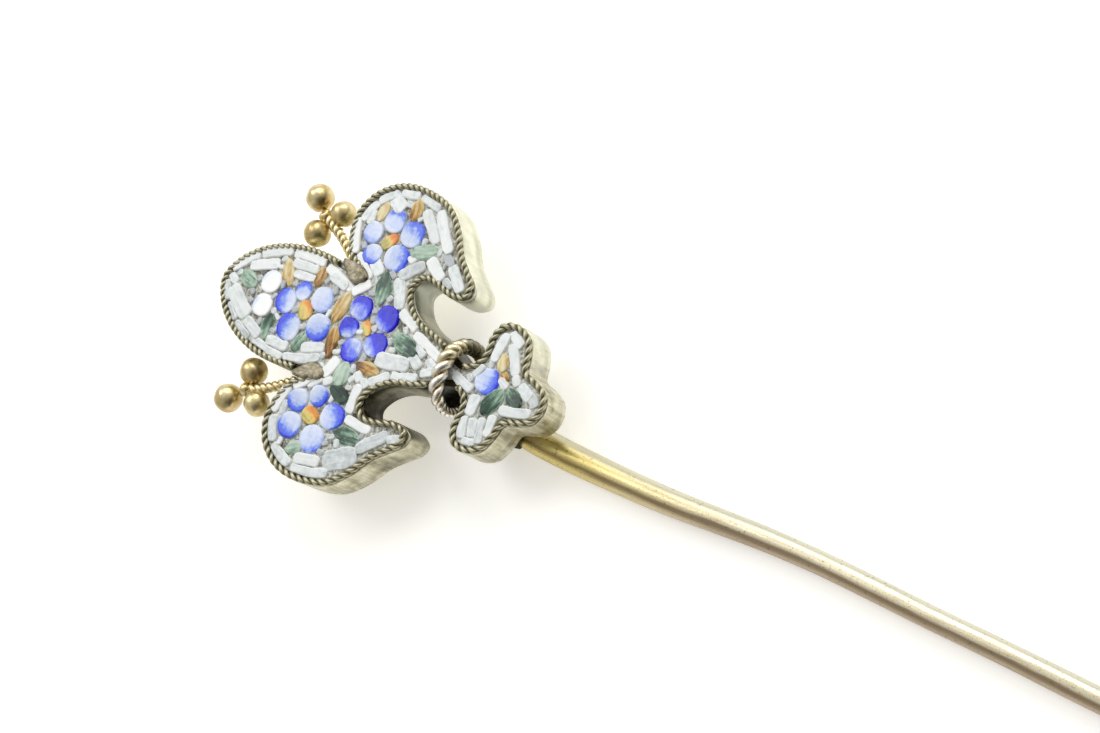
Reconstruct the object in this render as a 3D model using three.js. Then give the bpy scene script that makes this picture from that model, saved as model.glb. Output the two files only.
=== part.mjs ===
// A fleur-de-lis hat pin with a micro-mosaic face, lying face up.
//
// The head is a shallow brass case: a back plate, a wall that follows the lily's outline and
// a cement bed that holds glass tesserae. Rope wire edges the case, a ring of heavy twisted
// wire clasps its neck, and two stamens of wire and balls stand in the notches beside the
// middle petal. The stem is soldered along the back, a little askew.
//
// Units are millimetres. +X is across the head, +Y runs from the pin's point to the tip of
// the middle petal, +Z is up, out of the face. The origin is at mid length, on the surface
// that the stem lies on.
import * as THREE from 'three';

// ---- driving dimensions ----
const OVERALL_LENGTH = 86;
const STEM_RADIUS = 0.7;
const STEM_SOLDER = 0.1;
const PLATE_THICKNESS = 0.35;
const CASE_DEPTH = 1.85;
const WALL_THICKNESS = 0.3;
const BED_TOP = 1.78;
const ROPE_RADIUS = 0.175;
const RING_RADIUS = 0.29;
const TESSERA_HEIGHT = 0.26;
const GAP = 0.015;

// The head's own frame has its origin at the neck, on the underside of the back plate.
const PETAL_TIP_Y = 13.65;
const HEAD_Y = OVERALL_LENGTH / 2 - PETAL_TIP_Y;
const HEAD_Z = 2 * STEM_RADIUS + STEM_SOLDER;
const STEM_POINT_Y = -OVERALL_LENGTH / 2 - HEAD_Y;

// ---- finishes ----
const finish = (color, roughness, metalness) => ({ color, roughness, metalness });
const CASE_BRASS = finish(0xb9ad86, 0.38, 1);
const ROPE_BRASS = finish(0x8f8460, 0.45, 1);
const BALL_GOLD = finish(0xb8995c, 0.35, 1);
const STEM_GOLD = finish(0xcbb26c, 0.3, 1);
const SOLDER = finish(0xa8a48e, 0.5, 1);
const CEMENT = finish(0x8a857a, 0.9, 0);
const BLUE_GLASS = finish(0x93a8ee, 0.25, 0);
const DEEP_BLUE_GLASS = finish(0x4a52dc, 0.25, 0);
const WHITE_GLASS = finish(0xe6eef4, 0.25, 0);
const ORANGE_GLASS = finish(0xd9822f, 0.4, 0);
const GREEN_GLASS = finish(0x55806a, 0.35, 0);

const head = new THREE.Group();
head.position.set(0, HEAD_Y, HEAD_Z);

function place(parent, name, geometry, look) {
  const mesh = new THREE.Mesh(geometry, new THREE.MeshStandardMaterial(look));
  mesh.name = name;
  parent.add(mesh);
  return mesh;
}

// ---- the lily's outline ----
// Each list is the right half of a stretch of the outline and is mirrored for the left half.
const NOTCH = [2.72, 6.85];
const PETAL_FLANK = [
  [0, PETAL_TIP_Y], [1.15, 13.15], [2.15, 12.0], [2.8, 10.3], [2.92, 8.5], NOTCH,
];
const SIDE_LOBE = [
  NOTCH, [3.4, 7.4], [4.3, 7.8], [5.3, 7.9], [6.5, 7.35], [7.3, 6.2], [7.5, 4.8],
  [7.1, 3.1], [6.2, 2.1], [5.15, 1.35], [4.43, 0.55], [3.98, 0.06], [3.5, -0.04], [3.15, 0.44],
  [3.1, 1.2], [3.35, 2.1], [3.35, 2.8], [2.9, 3.1], [2.2, 2.75], [1.65, 2.0], [1.35, 0.9],
  [1.0, 0.0],
];
const FOOT = [
  [0.6, -0.9], [0.85, -1.6], [1.45, -1.85], [2.2, -1.8], [2.95, -2.15],
  [3.15, -2.9], [2.8, -3.75], [2.0, -4.15], [1.35, -4.35], [1.12, -5.0], [0.75, -5.65],
  [0, -5.92],
];
const STEPS_PER_SPAN = 3;

const mirrored = (points) => points.map(([x, y]) => [-x, y]).reverse();

function smooth(points) {
  const curve = new THREE.CatmullRomCurve3(
    points.map(([x, y]) => new THREE.Vector3(x, y, 0)), false, 'centripetal');
  const steps = (points.length - 1) * STEPS_PER_SPAN;
  return Array.from({ length: steps + 1 }, (_, i) => curve.getPoint(i / steps))
    .map((p) => new THREE.Vector2(p.x, p.y));
}

const petalLine = smooth([...mirrored(PETAL_FLANK), ...PETAL_FLANK.slice(1)]);
const lowerHalf = [...SIDE_LOBE, ...FOOT];
const lowerLine = smooth([...lowerHalf, ...mirrored(lowerHalf).slice(1)]);
const outline = [...petalLine.slice(0, -1), ...lowerLine.slice(0, -1)];

// Moves a line sideways to its right, which is into the case, with mitred corners. Points
// that end up nearer to the line than the distance are dropped, where a bend is too tight.
function inset(line, distance, closed) {
  const last = line.length - 1;
  const moved = line.map((point, i) => {
    const before = i > 0 ? line[i - 1] : closed ? line[last] : null;
    const after = i < last ? line[i + 1] : closed ? line[0] : null;
    const into = (before ? point.clone().sub(before) : after.clone().sub(point)).normalize();
    const out = (after ? after.clone().sub(point) : point.clone().sub(before)).normalize();
    const normal = new THREE.Vector2(into.y + out.y, -into.x - out.x).normalize();
    const stretch = distance / (normal.x * out.y - normal.y * out.x);
    return point.clone().addScaledVector(normal, stretch);
  });
  const nearest = (point) => Math.min(...line.map((other) => other.distanceTo(point)));
  return moved.filter((point) => nearest(point) > distance * 0.97);
}

function slab(loop, bottom, top, hole) {
  const shape = new THREE.Shape(loop);
  if (hole) {
    shape.holes.push(new THREE.Path(hole.toReversed()));
  }
  const geometry = new THREE.ExtrudeGeometry(shape, { depth: top - bottom, bevelEnabled: false });
  return geometry.translate(0, 0, bottom);
}

function round(radius, sides) {
  const turn = (2 * Math.PI) / sides;
  return new THREE.Shape(Array.from({ length: sides }, (_, i) =>
    new THREE.Vector2(radius * Math.cos(i * turn), radius * Math.sin(i * turn))));
}

function tube(points, radius, steps) {
  const path = new THREE.CatmullRomCurve3(points, false, 'centripetal');
  const options = { steps, bevelEnabled: false, extrudePath: path };
  return new THREE.ExtrudeGeometry(round(radius, 8), options);
}

// ---- case: back plate, wall and cement bed ----
place(head, 'back_plate', slab(outline, 0, PLATE_THICKNESS), CASE_BRASS);
place(head, 'case_wall',
  slab(outline, PLATE_THICKNESS + GAP, CASE_DEPTH, inset(outline, WALL_THICKNESS, true)), CASE_BRASS);
place(head, 'cement_bed',
  slab(inset(outline, WALL_THICKNESS + GAP, true), PLATE_THICKNESS + GAP, BED_TOP), CEMENT);

// ---- rope wire along the rim, in four lengths ----
const ROPE_INSET = ROPE_RADIUS + 0.01;
const ROPE_Z = CASE_DEPTH + ROPE_RADIUS + GAP;
const LOBE_ROPE_END_Y = 0.15;
const FOOT_ROPE_END_Y = -0.95;
const NECK_HALF_WIDTH = 0.5;
const NOTCH_CLEARANCE = 0.3;

function ropeAlong(name, line) {
  const points = inset(line, ROPE_INSET, false).map((p) => new THREE.Vector3(p.x, p.y, ROPE_Z));
  place(head, name, tube(points, ROPE_RADIUS, points.length), ROPE_BRASS);
}

function lobeLine(side) {
  const notch = new THREE.Vector2(side * NOTCH[0], NOTCH[1]);
  return lowerLine.filter((p) => p.x * side > NECK_HALF_WIDTH && p.y > LOBE_ROPE_END_Y
    && p.distanceTo(notch) > NOTCH_CLEARANCE);
}
ropeAlong('petal_rope', petalLine);
ropeAlong('right_lobe_rope', lobeLine(1));
ropeAlong('left_lobe_rope', lobeLine(-1));
ropeAlong('foot_rope', lowerLine.filter((p) => p.y < FOOT_ROPE_END_Y));

// ---- ring of heavy twisted wire that clasps the neck, open at the back ----
const RING_PATH = [
  [-1.05, -1.2, 0.45], [-1.45, -1.05, 1.0], [-1.58, -0.85, 1.6], [-1.1, -0.5, 2.25],
  [0, -0.4, 2.53], [0.95, -0.5, 2.4], [1.55, -0.75, 1.75], [1.5, -0.95, 1.0], [1.0, -1.1, 0.45],
];
place(head, 'neck_ring', tube(RING_PATH.map((p) => new THREE.Vector3(...p)), RING_RADIUS, 24), ROPE_BRASS);

// ---- stamens: a twisted wire with a solder bead at its end, and three balls around the bead ----
const STAMEN_Z = 1.1;
const STAMEN_WIRE_RADIUS = 0.2;
const STAMEN_BEAD_RADIUS = 0.32;
const STAMEN_ROOT = [3.13, 7.62];
const STAMEN_HUB = [4.6, 10.15];
const STAMEN_BALLS = [
  ['outer', 5.32, 10.95, 0.66],
  ['inner', 3.66, 10.22, 0.64],
  ['lower', 5.0, 9.27, 0.6],
];

function stamenWire(side) {
  const root = new THREE.Vector3(side * STAMEN_ROOT[0], STAMEN_ROOT[1], STAMEN_Z);
  const hub = new THREE.Vector3(side * STAMEN_HUB[0], STAMEN_HUB[1], STAMEN_Z);
  const reach = hub.distanceTo(root);
  const neck = Math.sqrt(STAMEN_BEAD_RADIUS ** 2 - STAMEN_WIRE_RADIUS ** 2);
  const bead = new THREE.Path();
  bead.moveTo(0, 0);
  bead.lineTo(STAMEN_WIRE_RADIUS, 0);
  bead.lineTo(STAMEN_WIRE_RADIUS, reach - neck);
  bead.absarc(0, reach, STAMEN_BEAD_RADIUS, -Math.atan2(neck, STAMEN_WIRE_RADIUS), Math.PI / 2, false);
  const geometry = new THREE.LatheGeometry(bead.getPoints(6), 10);
  const along = hub.sub(root).normalize();
  geometry.applyQuaternion(new THREE.Quaternion().setFromUnitVectors(new THREE.Vector3(0, 1, 0), along));
  return geometry.translate(root.x, root.y, root.z);
}

for (const [hand, side] of [['right', 1], ['left', -1]]) {
  place(head, `${hand}_stamen_wire`, stamenWire(side), ROPE_BRASS);
  for (const [spot, x, y, radius] of STAMEN_BALLS) {
    const ball = new THREE.SphereGeometry(radius, 14, 9).translate(side * x, y, STAMEN_Z);
    place(head, `${hand}_stamen_ball_${spot}`, ball, BALL_GOLD);
  }
}

// ---- stem: a tapered wire with hand-made bends, lying on its underside ----
// Its first stretch is straight, where it is soldered across the back.
const SEAT_START = { x: 0.15, y: 3.2 };
const SEAT_SLOPE = 0.17;
const seatX = (y) => SEAT_START.x + (y - SEAT_START.y) * SEAT_SLOPE;
const SEAT_STATIONS = [SEAT_START.y, 1.2, -0.8, -2.8, -4.6];
// Each entry is the place along the head's Y, the sideways place and the wire's radius.
const STEM_LINE = [
  ...SEAT_STATIONS.map((y) => [y, seatX(y), STEM_RADIUS]),
  [-8, -1.35, 0.67], [-12, -1.38, 0.61], [-16.5, -1.2, 0.55], [-20, -1.21, 0.52],
  [-24.5, -1.43, 0.51], [-28.5, -1.58, 0.51], [-33, -1.8, 0.52], [-40, -2.0, 0.51],
  [-48, -1.9, 0.49], [-56, -2.1, 0.46], [-64, -2.05, 0.4], [-68.5, -2.0, 0.31], [-71, -2.0, 0.17],
];
const STEM_POINT_RADIUS = 0.04;

function stem() {
  const curve = new THREE.CatmullRomCurve3(
    STEM_LINE.map(([y, x, radius]) => new THREE.Vector3(x, -y, radius)), false, 'centripetal');
  const steps = (STEM_LINE.length - 1) * 2;
  const stations = Array.from({ length: steps + 1 }, (_, i) => curve.getPoint(i / steps));
  const start = stations[0];
  const end = new THREE.Vector3(stations.at(-1).x, -STEM_POINT_Y, STEM_POINT_RADIUS);
  stations.push(end);
  const profile = [
    new THREE.Vector2(0, start.y),
    ...stations.map((s) => new THREE.Vector2(s.z, s.y)),
    new THREE.Vector2(0, end.y),
  ];
  const shift = [start, ...stations, end];
  const geometry = new THREE.LatheGeometry(profile, 12);
  const position = geometry.attributes.position;
  for (let i = 0; i < position.count; i++) {
    const { x: sideways, z: radius } = shift[i % profile.length];
    const across = position.getX(i) + sideways;
    const up = position.getZ(i) + radius;
    position.setXYZ(i, across, -position.getY(i), up);
  }
  const index = geometry.index.array;
  for (let i = 0; i < index.length; i += 3) {
    [index[i], index[i + 1]] = [index[i + 1], index[i]];
  }
  return geometry;
}
place(head, 'pin_stem', stem(), STEM_GOLD).position.z = -HEAD_Z;

// ---- solder saddle that holds the stem's straight end along the back ----
const SADDLE_START_Y = 2.9;
const SADDLE_END_Y = -4.0;
const SADDLE_HALF_WIDTH = 1.05;
const SADDLE_EDGE = 0.12;
const SADDLE_LIP = 0.04;
const SADDLE_CLEARANCE = 0.03;

function solderSaddle() {
  const radius = STEM_RADIUS + SADDLE_CLEARANCE;
  const axis = STEM_RADIUS - HEAD_Z;
  const bow = -0.2;
  const shape = new THREE.Shape();
  shape.moveTo(-SADDLE_HALF_WIDTH, -GAP);
  shape.lineTo(-SADDLE_HALF_WIDTH, -SADDLE_EDGE);
  shape.quadraticCurveTo(-radius, bow, -radius - SADDLE_LIP, axis);
  shape.absarc(0, axis, radius, Math.PI, 0, true);
  shape.lineTo(radius + SADDLE_LIP, axis);
  shape.quadraticCurveTo(radius, bow, SADDLE_HALF_WIDTH, -SADDLE_EDGE);
  shape.lineTo(SADDLE_HALF_WIDTH, -GAP);
  const depth = (SADDLE_START_Y - SADDLE_END_Y) * Math.hypot(1, SEAT_SLOPE);
  const geometry = new THREE.ExtrudeGeometry(shape, { depth, bevelEnabled: false, curveSegments: 8 });
  geometry.rotateX(Math.PI / 2).rotateZ(-Math.atan(SEAT_SLOPE));
  return geometry.translate(seatX(SADDLE_START_Y), SADDLE_START_Y, 0);
}
place(head, 'stem_solder', solderSaddle(), SOLDER);

// ---- tesserae, standing on the bed ----
const TESSERA_Z = BED_TOP + GAP;
const SHOULDER_HEIGHT = 0.2;
const CROWN = 0.02;

function disc(name, x, y, radius, look) {
  const profile = [
    [0, 0], [radius, 0], [radius, SHOULDER_HEIGHT], [radius * 0.8, TESSERA_HEIGHT],
    [0, TESSERA_HEIGHT + CROWN],
  ];
  const geometry = new THREE.LatheGeometry(profile.map((p) => new THREE.Vector2(...p)), 12);
  place(head, name, geometry.rotateX(Math.PI / 2).translate(x, y, TESSERA_Z), look);
}

// A lens-shaped sliver, which may be one leaf or the heart of a flower.
function sliver(name, x, y, length, width, degrees, look) {
  const shape = new THREE.Shape();
  shape.moveTo(-length / 2, 0);
  shape.quadraticCurveTo(0, -width, length / 2, 0);
  shape.quadraticCurveTo(0, width, -length / 2, 0);
  const options = { depth: SHOULDER_HEIGHT + CROWN, bevelEnabled: false, curveSegments: 4 };
  const geometry = new THREE.ExtrudeGeometry(shape, options);
  place(head, name, geometry.rotateZ(degrees * Math.PI / 180).translate(x, y, TESSERA_Z), look);
}

// Flowers: the heart's place and size, then each petal's place and radius.
const FLOWERS = {
  tip_flower: {
    heart: [-0.02, 8.28, 0.8, 0.62, 20],
    petals: [
      [0.05, 9.54, 0.56], [0.78, 8.83, 0.42], [0.76, 7.6, 0.57],
      [-0.53, 7.18, 0.62], [-1.06, 8.77, 0.62],
    ],
    look: BLUE_GLASS,
  },
  right_flower: {
    heart: [4.5, 5.46, 0.82, 0.4, -35],
    petals: [
      [4.61, 6.54, 0.49], [5.47, 5.64, 0.53], [5.18, 4.43, 0.58],
      [3.88, 4.71, 0.6], [3.64, 6.08, 0.47],
    ],
    look: BLUE_GLASS,
  },
  waist_flower: {
    heart: [0.32, 4.57, 0.62, 0.42, 30],
    petals: [
      [1.1, 5.35, 0.54], [1.1, 3.76, 0.58], [0.05, 5.53, 0.46],
      [-0.9, 4.9, 0.54], [-0.22, 3.76, 0.56],
    ],
    look: DEEP_BLUE_GLASS,
  },
  left_flower: {
    heart: [-4.43, 5.47, 0.76, 0.6, 70],
    petals: [
      [-4.0, 6.47, 0.52], [-3.45, 5.47, 0.46], [-4.08, 4.3, 0.6],
      [-5.4, 4.87, 0.63], [-5.22, 6.32, 0.58],
    ],
    look: BLUE_GLASS,
  },
};
for (const [name, { heart, petals, look }] of Object.entries(FLOWERS)) {
  sliver(`${name}_heart`, ...heart, ORANGE_GLASS);
  petals.forEach((petal, i) => disc(`${name}_petal_${i + 1}`, ...petal, look));
}
disc('foot_petal', 0.25, -2.6, 0.57, BLUE_GLASS);
disc('white_disc_1', 0.62, 10.8, 0.52, WHITE_GLASS);
disc('white_disc_2', -0.57, 10.73, 0.52, WHITE_GLASS);

// Leaves: place, length, width and the direction that each one points in.
const LEAVES = {
  tip_leaf_1: [0.33, 12.1, 1.0, 0.5, -110],
  tip_leaf_2: [-1.42, 9.95, 1.1, 0.45, -178],
  tip_leaf_3: [-1.5, 7.85, 0.85, 0.4, 163],
  right_leaf: [4.65, 3.4, 1.2, 0.55, -65],
  waist_leaf_1: [2.38, 4.69, 1.4, 0.6, -171],
  waist_leaf_2: [0.3, 2.3, 1.5, 0.65, -104],
  waist_leaf_3: [-2.1, 4.8, 1.0, 0.7, 176],
  waist_leaf_4: [-2.98, 4.45, 1.0, 0.5, -110],
  left_leaf_1: [-4.62, 3.15, 1.6, 0.6, -85],
  left_leaf_2: [-6.1, 5.55, 0.75, 0.4, -60],
  foot_leaf_1: [-0.5, -3.3, 1.3, 0.6, 158],
  foot_leaf_2: [-0.02, -4.25, 0.9, 0.5, -122],
};
for (const [name, leaf] of Object.entries(LEAVES)) {
  sliver(name, ...leaf, GREEN_GLASS);
}

const group = new THREE.Group();
group.add(head);
export default group;
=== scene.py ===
"""Looks for a fleur-de-lis hat pin: a brass case of glass micro-mosaic edged in rope wire, on a bent stem.

Shapes are worked out in millimetres in the head's own frame, as in the CAD: its origin is at the
neck, on the underside of the back plate, +X across the head, +Y towards the middle petal's tip and
+Z out of the mosaic. piece() turns them into metres in the row frame.
"""
import math
import random

import bmesh
import bpy
import numpy as np
from mathutils import Matrix, Vector, geometry, noise


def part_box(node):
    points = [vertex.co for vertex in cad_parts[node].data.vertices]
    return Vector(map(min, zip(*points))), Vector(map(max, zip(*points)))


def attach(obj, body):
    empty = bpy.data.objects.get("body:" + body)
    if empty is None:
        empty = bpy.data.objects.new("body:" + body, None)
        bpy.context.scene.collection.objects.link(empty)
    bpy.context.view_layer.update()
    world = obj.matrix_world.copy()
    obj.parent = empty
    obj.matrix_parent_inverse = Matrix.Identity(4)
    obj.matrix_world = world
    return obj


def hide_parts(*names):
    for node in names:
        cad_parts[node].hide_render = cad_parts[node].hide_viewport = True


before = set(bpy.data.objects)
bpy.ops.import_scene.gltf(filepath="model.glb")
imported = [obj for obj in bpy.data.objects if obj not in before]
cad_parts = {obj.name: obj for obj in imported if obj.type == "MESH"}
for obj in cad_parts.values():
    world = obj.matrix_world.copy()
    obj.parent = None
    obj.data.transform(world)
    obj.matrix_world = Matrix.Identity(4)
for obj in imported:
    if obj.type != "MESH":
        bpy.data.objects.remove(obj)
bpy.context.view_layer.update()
MM = 0.001
chance = random.Random(7)

# ---- sizes that are the CAD's too, in millimetres ----
PETAL_TIP_Y = 13.65
PLATE_THICKNESS = 0.35
WALL_THICKNESS = 0.3
WALL_TOP = 1.85
ROPE_RADIUS = 0.175
STEM_RADIUS = 0.7

# ---- sizes of this model alone ----
GROUT_TOP = 1.98
GLASS_FOOT = 1.8
GLASS_TOP = 2.07
GLASS_GAP = 0.035
ROPE_INSET = 0.165
ROPE_Z = 2.0
FINE_PITCH = 0.66
COARSE_PITCH = 0.8
STAMEN_RADIUS = 0.3
BALL_GROWTH = 1.06
CRUMB_ROOM = 0.18

plate_low, plate_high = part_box("back_plate")
NECK = Vector((0, plate_high.y - PETAL_TIP_Y * MM, plate_low.z))

# The outline's right half, as in the CAD, in stretches that meet at the notch and at the neck.
NOTCH = (2.72, 6.85)
PETAL_FLANK = [
    (0, PETAL_TIP_Y), (1.15, 13.15), (2.15, 12.0), (2.8, 10.3), (2.92, 8.5), NOTCH,
]
SIDE_LOBE = [
    NOTCH, (3.4, 7.4), (4.3, 7.8), (5.3, 7.9), (6.5, 7.35), (7.3, 6.2), (7.5, 4.8),
    (7.1, 3.1), (6.2, 2.1), (5.15, 1.35), (4.43, 0.55), (3.98, 0.06), (3.5, -0.04), (3.15, 0.44),
    (3.1, 1.2), (3.35, 2.1), (3.35, 2.8), (2.9, 3.1), (2.2, 2.75), (1.65, 2.0), (1.35, 0.9),
    (1.0, 0.0),
]
FOOT = [
    (0.6, -0.9), (0.85, -1.6), (1.45, -1.85), (2.2, -1.8), (2.95, -2.15),
    (3.15, -2.9), (2.8, -3.75), (2.0, -4.15), (1.35, -4.35), (1.12, -5.0), (0.75, -5.65),
    (0, -5.92),
]
# Where the right lobe's rope ends, down in the notch.
LOBE_ROPE_END = (2.55, 5.79)


# ---- curves ----
def mirrored(points):
    return [(-x, y) for x, y in reversed(points)]


def smooth(points, spacing):
    """A centripetal Catmull-Rom curve through the points, in equal steps of about that spacing."""
    p = np.array(points, float)
    p = np.vstack([2 * p[0] - p[1], p, 2 * p[-1] - p[-2]])
    curve = []
    for a, b, c, d in zip(p[:-3], p[1:-2], p[2:-1], p[3:]):
        t1 = np.linalg.norm(b - a) ** 0.5
        t2 = t1 + np.linalg.norm(c - b) ** 0.5
        t3 = t2 + np.linalg.norm(d - c) ** 0.5
        t = np.linspace(t1, t2, 16, endpoint=False)[:, None]
        ab = a + (b - a) * t / t1
        bc = b + (c - b) * (t - t1) / (t2 - t1)
        cd = c + (d - c) * (t - t2) / (t3 - t2)
        abc = ab + (bc - ab) * t / t2
        bcd = bc + (cd - bc) * (t - t1) / (t3 - t1)
        curve.append(abc + (bcd - abc) * (t - t1) / (t2 - t1))
    curve.append(p[-2:-1])
    return resample(np.vstack(curve), spacing)


def travelled(path):
    """How far along the path each of its points is."""
    return np.concatenate([[0], np.cumsum(np.linalg.norm(np.diff(path, axis=0), axis=1))])


def resample(path, spacing):
    along = travelled(path)
    steps = max(2, round(along[-1] / spacing))
    at = np.linspace(0, along[-1], steps + 1)
    return np.stack([np.interp(at, along, path[:, k]) for k in range(path.shape[1])], axis=1)


def inset(line, distance, closed=False):
    """The line moved sideways to its right, which is into the case, with mitred corners."""
    if closed:
        before, after = np.roll(line, 1, axis=0), np.roll(line, -1, axis=0)
    else:
        before = np.vstack([2 * line[:1] - line[1:2], line[:-1]])
        after = np.vstack([line[1:], 2 * line[-1:] - line[-2:-1]])
    sides = []
    for start, end in ((before, line), (line, after)):
        step = end - start
        step /= np.linalg.norm(step, axis=1)[:, None]
        sides.append(np.stack([step[:, 1], -step[:, 0]], axis=1))
    middle = sides[0] + sides[1]
    middle /= np.linalg.norm(middle, axis=1)[:, None]
    stretch = np.clip((middle * sides[0]).sum(axis=1), 0.35, 1)
    return line + middle * (distance / stretch)[:, None]


def directions(path):
    step = np.gradient(path, axis=0)
    return step / np.linalg.norm(step, axis=1)[:, None]


def fine_outline(spacing):
    petal = smooth(mirrored(PETAL_FLANK)[:-1] + PETAL_FLANK, spacing)
    lower_right = SIDE_LOBE + FOOT
    lower = smooth(lower_right[:-1] + mirrored(lower_right), spacing)
    return petal, lower


PETAL_LINE, LOWER_LINE = fine_outline(0.08)
OUTLINE = np.vstack([PETAL_LINE[:-1], LOWER_LINE[:-1]])


# ---- meshes ----
def loft(rings, closed=False):
    """Vertices and faces of a skin over rings of points; an open row of rings gets two end faces."""
    rows, sides = rings.shape[:2]
    index = np.arange(rows * sides).reshape(rows, sides)
    last = rows if closed else rows - 1
    near = index[:last]
    far = np.roll(index, -1, axis=0)[:last]
    quads = np.stack([near, np.roll(near, -1, axis=1), np.roll(far, -1, axis=1), far], axis=-1)
    faces = quads.reshape(-1, 4).tolist()
    if not closed:
        faces.append(index[0][::-1].tolist())
        faces.append(index[-1].tolist())
    return rings.reshape(-1, 3), faces


def gathered(parts):
    """Several (vertices, faces, values) as one. Values are one number or row for each vertex."""
    vertices, faces, values = [], [], []
    total = 0
    for part_vertices, part_faces, part_values in parts:
        vertices.append(part_vertices)
        faces += [[i + total for i in face] for face in part_faces]
        values.append(part_values)
        total += len(part_vertices)
    return np.vstack(vertices), faces, np.concatenate(values)


def placed(name, data):
    obj = bpy.data.objects.new(name, data)
    bpy.context.scene.collection.objects.link(obj)
    return obj


def piece(name, slot, look, vertices, faces, replaces=None, smooth_all=True, **attributes):
    """A mesh object in the row frame that rides on the one body. Vertices are in head millimetres."""
    mesh = bpy.data.meshes.new(name)
    mesh.from_pydata((np.array(NECK) + np.asarray(vertices) * MM).tolist(), [], faces)
    for attribute, values in attributes.items():
        flat = values.ndim == 1
        layer = mesh.attributes.new(attribute, "FLOAT" if flat else "FLOAT_VECTOR", "POINT")
        layer.data.foreach_set("value" if flat else "vector", values.astype(np.float32).ravel())
    mesh.materials.append(look)
    tidy = bmesh.new()
    tidy.from_mesh(mesh)
    bmesh.ops.recalc_face_normals(tidy, faces=tidy.faces)
    bmesh.ops.triangulate(tidy, faces=[f for f in tidy.faces if len(f.verts) > 4])
    tidy.to_mesh(mesh)
    tidy.free()
    if smooth_all:
        mesh.shade_smooth()
    obj = placed(name, mesh)
    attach(obj, "root")
    if replaces:
        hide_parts(replaces)
    return obj


def crossways(path):
    """Two directions square to each point of the path, carried along it untwisted."""
    tangents = directions(path)
    side = np.cross(tangents[0], (0.3, 0.2, 1.0))
    pairs = []
    for tangent in tangents:
        side = side - tangent * side.dot(tangent)
        side /= np.linalg.norm(side)
        pairs.append((side, np.cross(tangent, side)))
    return pairs


def tube_rings(path, radii, sides):
    """Rings of a round tube along a path in space."""
    turn = np.linspace(0, 2 * np.pi, sides, endpoint=False)
    rings = []
    for point, radius, (side, up) in zip(path, radii, crossways(path)):
        rings.append(point + radius * (np.outer(np.cos(turn), side) + np.outer(np.sin(turn), up)))
    return np.array(rings)


def rounded_ends(path, radius):
    """Radii that close a tube with a half ball at each end."""
    along = travelled(path)
    from_end = np.minimum(along, along[-1] - along)
    reach = np.clip(1 - from_end / radius, 0, 1)
    return radius * np.sqrt(np.clip(1 - reach**2, 0.02, 1))


def twisted_wire(path, radius, pitch, sides=10, start_turn=0.0):
    """Two round strands twisted about a path: vertices, faces, and how far out each vertex stands.

    The radius and the pitch are each one number, or one for each point of the path.
    """
    radii = radius * np.ones(len(path))
    strand = radii * 0.57
    orbit = (radii - strand)[:, None]
    across = crossways(path)
    lengths = np.diff(travelled(path), prepend=0)
    turned = np.cumsum(2 * np.pi * lengths / pitch)
    parts = []
    for phase in (0, np.pi):
        angle = turned + phase + start_turn
        centre = path + orbit * np.array([
            math.cos(a) * s + math.sin(a) * u for a, (s, u) in zip(angle, across)
        ])
        ends = rounded_ends(centre, strand.mean()) / strand.mean()
        rings = tube_rings(centre, strand * ends, sides)
        reach = np.linalg.norm(rings - path[:, None], axis=2) / radii[:, None]
        vertices, faces = loft(rings)
        parts.append((vertices, faces, reach.ravel()))
    return gathered(parts)


def ripple(point, scale, seed):
    """Smooth seeded noise from -1 to 1 at a point in millimetres."""
    return noise.noise(Vector((point[0] * scale + seed * 17.3, point[1] * scale, seed * 5.7)))


# ---- materials ----
def rgb(red, green, blue):
    """A linear colour from the usual 0 to 255 display values."""
    linear = [
        c / 12.92 if c <= 0.04045 else ((c + 0.055) / 1.055) ** 2.4
        for c in (red / 255, green / 255, blue / 255)
    ]
    return (*linear, 1)


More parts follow.
